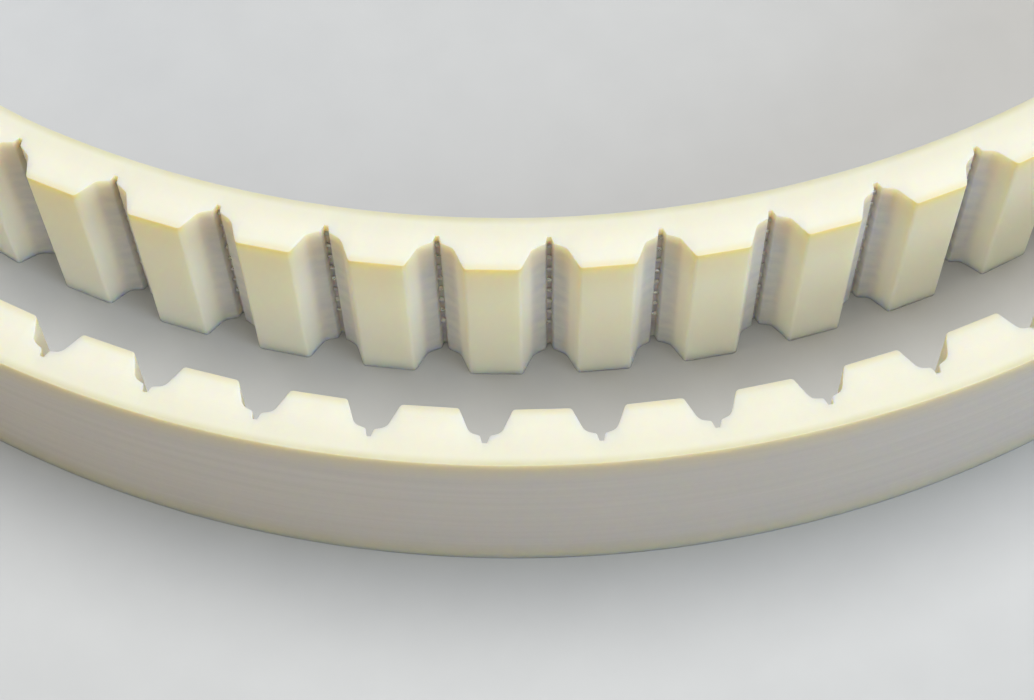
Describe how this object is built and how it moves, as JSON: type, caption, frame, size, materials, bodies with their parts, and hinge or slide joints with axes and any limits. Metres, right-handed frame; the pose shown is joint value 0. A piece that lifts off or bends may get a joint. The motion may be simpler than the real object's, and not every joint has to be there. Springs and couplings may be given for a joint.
{
  "type": "timing belt",
  "caption": "Endless toothed drive belt in cream polyurethane with steel tension cords, 5 mm pitch and 10 mm wide, standing on edge in a relaxed kidney loop.",
  "frame": {"origin": "middle of the loop's bounding box, on the slit edge that the belt stands on", "axes": "+Z across the belt's width, from one slit edge to the other; +X along the loop's long side; the front strand, whose teeth point to +Y, is at the lowest Y"},
  "size_m": [0.1456, 0.0798, 0.01],
  "materials": {
    "polyurethane": "satin, slightly translucent cast polyurethane, matt on the cut edges",
    "steel_cord": "bright stranded steel wire"
  },
  "bodies": {
    "root": {"belt_body": "polyurethane", "tension_cord_s": "steel_cord", "tension_cord_z": "steel_cord"}
  },
  "joints": []
}
